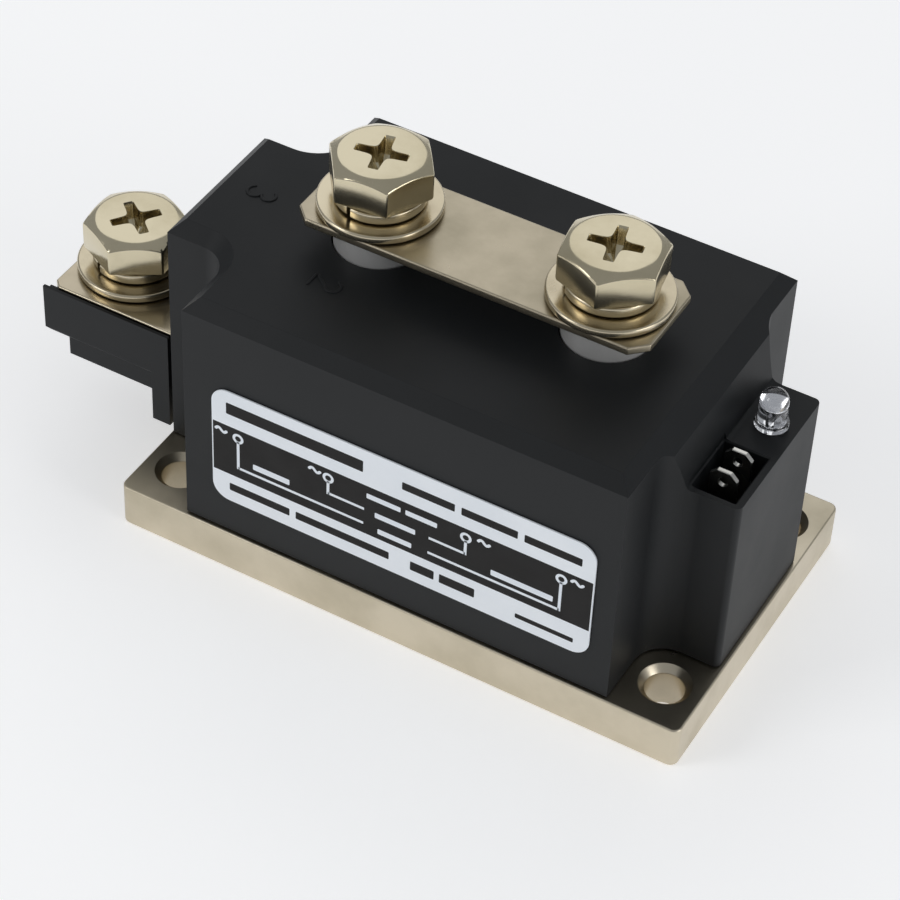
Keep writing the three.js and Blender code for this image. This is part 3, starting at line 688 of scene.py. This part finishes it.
# ---- link bar ----
# A stamped, plated copper bar across both posts, with its four corners cut off. The plating is thin
# enough to show the mottled rolled surface.
BAR_CORNER = 2.7
bar_material = plated_metal("bar_plating", (0.50, 0.44, 0.33), (0.39, 0.345, 0.25), 0.32,
                            (1, 1, 1), 0.25, 0.5)
(x0, y0, z0), (x1, y1, z1) = box_mm("link_bar")
bar_loop = rounded([(x0 + BAR_CORNER, y0), (x1 - BAR_CORNER, y0), (x1, y0 + BAR_CORNER),
                    (x1, y1 - BAR_CORNER), (x1 - BAR_CORNER, y1), (x0 + BAR_CORNER, y1),
                    (x0, y1 - BAR_CORNER), (x0, y0 + BAR_CORNER)], 0.45, 4)
bar_hole = [(-0.3, z0), (0, z0 + 0.3), (0, z1 - 0.3), (-0.3, z1)]
bar_points, bar_faces = slab(bar_loop, edge_round(0.3, z0, z1),
                             [(circle(x, 0, BORE_R), bar_hole) for x in POST_X])
place_piece("link_bar_plated", build_mesh("link_bar_plated", bar_points, bar_faces), bar_material,
            "relay", ["link_bar"])


# ---- terminal screws ----
# Three M10 hexagon screws with a cross recess, each with a split spring washer and a flat washer,
# cold headed and rolled, then nickel plated. The washers lift with the screw and don't turn with it.
ACROSS_FLATS = 16.0
HEAD_HIGH = 6.3
CROWN_R = 7.05
CROWN_SLOPE = 0.58
SHANK_R = 4.9
THREAD_DEPTH = 0.62
PITCH = 1.5
RECESS_REACH = 4.3
RECESS_HALF = 0.88
RECESS_DEEP = 4.2
RECESS_CORNER = 14
RECESS_BLEND = 1.9
WASHER_HOLE = 5.35
SPRING_R, SPRING_THICK, SPRING_RISE = 7.7, 1.95, 0.2
WASHER_R, WASHER_THICK = 10.45, 1.5
screw_material = plated_metal("screw_plating", (0.665, 0.595, 0.43), (0.555, 0.49, 0.335), 0.20,
                              (1, 1, 1), 0.06)
washer_material = plated_metal("washer_plating", (0.68, 0.60, 0.44), (0.52, 0.45, 0.32), 0.24,
                               (1, 1, 1), 0.1)


def recess_radius(a, reach, half):
    """The cross seen from its middle: each arm ends at reach and is 2 half wide, softly cornered, and
    the two crossing arms are blended with a soft maximum so that their inner corners are wide arcs."""
    arms = []
    for b in (a, a + np.pi / 2):
        side = half / np.maximum(np.abs(np.sin(b)), 1e-6)
        end = reach / np.maximum(np.abs(np.cos(b)), 1e-6)
        arms.append((side ** -RECESS_CORNER + end ** -RECESS_CORNER) ** (-1 / RECESS_CORNER))
    return (arms[0] ** RECESS_BLEND + arms[1] ** RECESS_BLEND) ** (1 / RECESS_BLEND)


def screw_head(x, under, corner, cross, count=720):
    """Rings of points from the shank out under the head, up its six sides, over the conical crown and
    the flat top and down into the cross recess. A side's distance from the axis is half the width
    across flats over the cosine of the angle to its middle, and the crown is a cone that cuts it."""
    a = np.radians(corner) + np.linspace(0, 2 * np.pi, count, endpoint=False)
    side = ACROSS_FLATS / 2 / np.cos((a - np.radians(corner)) % (np.pi / 3) - np.pi / 6)
    side = np.minimum(side, ACROSS_FLATS / math.sqrt(3) - 0.10)
    top = under + HEAD_HIGH
    crown = top - (side - CROWN_R) * CROWN_SLOPE
    b = a - np.radians(cross)
    levels = [(SHANK_R, under), (side * 0.93, under), (side - 0.28, under + 0.03),
              (side - 0.08, under + 0.16), (side, under + 0.42), (side, crown - 0.30),
              (side - 0.04, crown - 0.10), (side - 0.14, crown + 0.05)]
    for part in (0.3, 0.6, 0.88):
        levels.append((side - 0.14 + (CROWN_R - side + 0.14) * part,
                       crown + 0.05 + (top - crown - 0.08) * part))
    lip = recess_radius(b, RECESS_REACH, RECESS_HALF)
    levels += [(CROWN_R - 0.12, top - 0.01), (CROWN_R - 0.5, top), (lip * 1.25, top),
               (lip + 0.10, top), (lip + 0.02, top - 0.05)]
    for deep in (0.25, 1.1, 2.1, 3.0):
        wall = recess_radius(b, RECESS_REACH - 0.32 * deep, RECESS_HALF - 0.07 * deep)
        levels.append((wall, top - deep))
    levels += [(wall * 0.72, top - 3.3), (wall * 0.35, top - 3.8), (0.0, top - RECESS_DEEP)]
    r = np.array([np.broadcast_to(radius, count) for radius, _ in levels])
    z = np.array([np.broadcast_to(height, count) for _, height in levels])
    points = np.stack([x + r * np.cos(a), r * np.sin(a), z], -1).reshape(-1, 3)
    return points, grid_quads(len(levels), count)


def screw_shank(x, low, high, count=96, per_turn=14):
    """A rolled thread: the radius dips by a rounded triangle wave of height over pitch minus turn, and
    the wave fades out at the point and under the head."""
    rows = int((high - low) / PITCH * per_turn)
    z = np.linspace(low, high, rows)[:, None]
    a = np.linspace(0, 2 * np.pi, count, endpoint=False)[None]
    phase = (z / PITCH - a / (2 * np.pi)) % 1
    dip = np.clip(np.abs(2 * phase - 1) * 1.25 - 0.12, 0, 1)
    fade = np.clip((z - low) / 1.0, 0, 1) * np.clip((high - 1.2 - z) / 0.8, 0, 1)
    r = SHANK_R - 0.02 - THREAD_DEPTH * dip * fade - 0.75 * np.clip(1 - (z - low) / 0.9, 0, 1)
    points = np.stack([x + r * np.cos(a), r * np.sin(a), z + 0 * a], -1).reshape(-1, 3)
    points = np.concatenate([points, [(x, 0, low)]])
    tip = [[(i + 1) % count, i, len(points) - 1] for i in range(count)]
    return points, grid_quads(rows, count) + tip


def split_ring(x, low, section, turn, rise, span=354.0, steps=150):
    """A section of (radius, height) points carried round a helix that rises by rise and stops short of
    a full turn, with a flat face on each end."""
    a = np.radians(turn + np.linspace(0, span, steps))[:, None]
    section = np.array(section, float)
    r, h = section[None, :, 0], section[None, :, 1]
    z = low + h + rise * np.linspace(0, 1, steps)[:, None]
    points = np.stack([x + r * np.cos(a), r * np.sin(a), z], -1).reshape(-1, 3)
    sides = len(section)
    ends = [list(range(sides)), list(range(sides * (steps - 1), sides * steps))[::-1]]
    return points, grid_quads(steps, sides) + ends


def rounded_section(r0, r1, high, edge, steps=3):
    """A rectangle between two radii with rounded corners, as (radius, height) points."""
    return rounded([(r0, 0), (r1, 0), (r1, high), (r0, high)], edge, steps)


for number, x, corner, cross, split in ((1, BOLT_1_X, 33, 52, 248), (2, POST_X[0], 6, 12, 262),
                                        (3, POST_X[1], 40, 12, 225)):
    low, high = box_mm(f"bolt_{number}")
    under = high[2] - HEAD_HIGH
    head = screw_head(x, under, corner, cross)
    shank = screw_shank(x, low[2], under)
    name = f"screw_{number}_plated"
    place_piece(name, build_mesh(name, *joined([head, shank])), screw_material, f"screw_{number}",
                [f"bolt_{number}"], sharp=28)
    name = f"spring_washer_{number}_plated"
    section = rounded_section(WASHER_HOLE, SPRING_R, SPRING_THICK, 0.4, 5)
    spring_low = box_mm(f"spring_washer_{number}")[0][2]
    spring = split_ring(x, spring_low, section, split, SPRING_RISE)
    place_piece(name, build_mesh(name, *spring), washer_material, f"washers_{number}",
                [f"spring_washer_{number}"])
    name = f"flat_washer_{number}_plated"
    section = rounded_section(WASHER_HOLE, WASHER_R, WASHER_THICK, 0.42, 4)
    section[:, 1] += box_mm(f"flat_washer_{number}")[0][2]
    flat = turned(x, section, 128)
    place_piece(name, build_mesh(name, *flat), washer_material, f"washers_{number}",
                [f"flat_washer_{number}"])


# ---- control tabs ----
# Two pierced push-on blades, stamped from tinned brass, stand in the pocket of the control block.
TAB_CORNER = 1.2
TAB_EDGE = 0.12
TAB_SHOULDER, SHOULDER_Z = 0.6, 34.0
TAB_HOLE_R, TAB_HOLE_DOWN = 0.8, 2.2
tab_material = plated_metal("tab_tinning", (0.66, 0.65, 0.61), (0.50, 0.49, 0.46), 0.26, (1, 1, 1), 0.1)
for letter in "ab":
    (x0, y0, z0), (x1, y1, z1) = box_mm(f"control_tab_{letter}")
    left, right = x0 + TAB_SHOULDER, x1 - TAB_SHOULDER
    outline = [(left, z0), (right, z0), (right, SHOULDER_Z), (x1, SHOULDER_Z), (x1, z1 - TAB_CORNER),
               (x1 - TAB_CORNER, z1), (x0 + TAB_CORNER, z1), (x0, z1 - TAB_CORNER), (x0, SHOULDER_Z),
               (left, SHOULDER_Z)]
    tab_loop = rounded(outline, [0] * 4 + [0.25] * 4 + [0] * 2, 3)
    path = [(TAB_EDGE, 0), (0, TAB_EDGE), (0, y1 - y0 - TAB_EDGE), (TAB_EDGE, y1 - y0)]
    hole = [(-0.1, 0), (0, 0.1), (0, y1 - y0 - 0.1), (-0.1, y1 - y0)]
    points, faces = slab(tab_loop, path,
                         [(circle((x0 + x1) / 2, z1 - TAB_HOLE_DOWN, TAB_HOLE_R, 32), hole)])
    points = np.column_stack([points[:, 0], y0 + points[:, 2], points[:, 1]])
    name = f"control_tab_{letter}_tinned"
    place_piece(name, build_mesh(name, points, faces), tab_material, "relay",
                [f"control_tab_{letter}"])


# ---- lamp ----
# A clear 5 mm class lamp: a cast epoxy dome with a flange, and two flat silvered leads inside it, one
# of them widened to the little anvil that carries the chip in its bright cup.
LENS_R = 2.4
LENS_STRAIGHT = 4.7
FLANGE_R = 2.85
z0 = box_mm("led_lens")[0][2]
dome = [(LENS_R * np.cos(t), z0 + LENS_STRAIGHT + LENS_R * np.sin(t))
        for t in np.linspace(0, np.pi / 2, 18)]
dome[-1] = (0.0, dome[-1][1])
lens_profile = [(0, z0), (FLANGE_R - 0.15, z0), (FLANGE_R, z0 + 0.12), (FLANGE_R, z0 + 0.82),
                (FLANGE_R - 0.11, z0 + 0.98), (LENS_R + 0.1, z0 + 1.02), (LENS_R, z0 + 1.15)] + dome
lens_points, lens_faces = turned(LAMP_X, lens_profile, 96)
lens_points[:, 1] += LAMP_Y
clear_material, clear_shader = new_material("clear_lens")
clear_shader.inputs["Base Color"].default_value = (0.97, 0.98, 1.0, 1.0)
clear_shader.inputs["Transmission Weight"].default_value = 1.0
clear_shader.inputs["IOR"].default_value = 1.53
lens_flow = object_noise(clear_material, 260.0, 3.0)
feed(clear_material, rescale(clear_material, lens_flow, 0.01, 0.04), clear_shader, "Roughness")
bump(clear_material, clear_shader, (lens_flow, 0.05, 0.0001))
place_piece("lamp_lens", build_mesh("lamp_lens", lens_points, lens_faces), clear_material, "relay",
            ["led_lens"])

lead_material = plated_metal("lead_silver", (0.94, 0.94, 0.95), (0.82, 0.82, 0.85), 0.22,
                             (1, 1, 1), 0.05)
anvil = [(-0.25, 25.9), (0.25, 25.9), (0.25, 45.6), (2.0, 46.9), (2.0, 47.6), (-0.6, 47.6), (-0.6, 46.4),
         (-0.25, 45.9)]
flag = [(-0.25, 25.9), (0.25, 25.9), (0.25, 46.2), (0.55, 46.7), (0.55, 47.4), (-0.35, 47.4), (-0.35, 46.7),
        (-0.25, 46.2)]
for letter, outline in (("a", anvil), ("b", flag)):
    (x0, y0, _), (x1, y1, _) = box_mm(f"led_lead_{letter}")
    path = [(0.04, 0), (0, 0.05), (0, x1 - x0 - 0.05), (0.04, x1 - x0)]
    points, faces = slab(np.array(outline), path)
    points = np.column_stack([x0 + points[:, 2], (y0 + y1) / 2 + points[:, 0], points[:, 1]])
    name = f"lamp_lead_{letter}"
    place_piece(name, build_mesh(name, points, faces), lead_material, "relay",
                [f"led_lead_{letter}"])

cup_profile = [(0, 47.5), (0.75, 47.5), (1.65, 48.6), (1.65, 48.75), (1.5, 48.75), (0.6, 47.95), (0, 47.95)]
cup_points, cup_faces = turned(LAMP_X, cup_profile, 48)
cup_points[:, 1] += LAMP_Y
place_piece("lamp_cup", build_mesh("lamp_cup", cup_points, cup_faces), lead_material, "relay")


# ---- sealed inside ----
# The captive nut, the sealing bead, the power stack and the control board are closed in by the case.
# They keep their CAD shapes and get their own finishes.
def plain_finish(name, dark, light, rough, metal=0.0, scale=150.0):
    """A cloudy tone between two colours, uneven gloss and a fine grain."""
    material, shader = new_material(name)
    tone = object_noise(material, scale, 4.0)
    feed(material, ramp(material, tone, [(0.35, dark), (0.65, light)]), shader, "Base Color")
    feed(material, rescale(material, tone, rough * 0.85, rough * 1.15), shader, "Roughness")
    shader.inputs["Metallic"].default_value = metal
    bump(material, shader, (object_noise(material, scale * 8, 2.0), 0.1, 0.00004))
    return material


inner_finish = {
    "nickel_plating": screw_material, "tin_plating": tab_material,
    "sealant": plain_finish("sealant", (0.62, 0.62, 0.58), (0.72, 0.72, 0.68), 0.5),
    "board_laminate": plain_finish("board_laminate", (0.02, 0.12, 0.05), (0.03, 0.17, 0.07), 0.35),
    "black_epoxy": plain_finish("black_epoxy", (0.015, 0.015, 0.015), (0.025, 0.025, 0.025), 0.45),
    "yellow_film": plain_finish("yellow_film", (0.60, 0.40, 0.05), (0.68, 0.47, 0.07), 0.3),
    "cement": plain_finish("cement", (0.66, 0.65, 0.61), (0.76, 0.75, 0.72), 0.8),
    "cream_lacquer": plain_finish("cream_lacquer", (0.60, 0.50, 0.33), (0.68, 0.58, 0.40), 0.35),
    "blue_lacquer": plain_finish("blue_lacquer", (0.02, 0.09, 0.28), (0.03, 0.13, 0.36), 0.3),
    "copper": plain_finish("copper", (0.62, 0.27, 0.14), (0.80, 0.38, 0.22), 0.3, 1.0),
    "ceramic": plain_finish("ceramic", (0.74, 0.72, 0.66), (0.82, 0.80, 0.75), 0.5),
    "molybdenum": plain_finish("molybdenum", (0.30, 0.31, 0.33), (0.40, 0.41, 0.42), 0.35, 1.0),
    "silicon": plain_finish("silicon", (0.06, 0.07, 0.09), (0.10, 0.11, 0.14), 0.12, 0.6),
}
for entry in frame["record"]["subparts"]:
    node = frame["nodes"][entry["node"]]
    finish = inner_finish.get(entry["material_slot"])
    if finish and not node.hide_render:
        for material_slot in node.material_slots:
            material_slot.material = finish
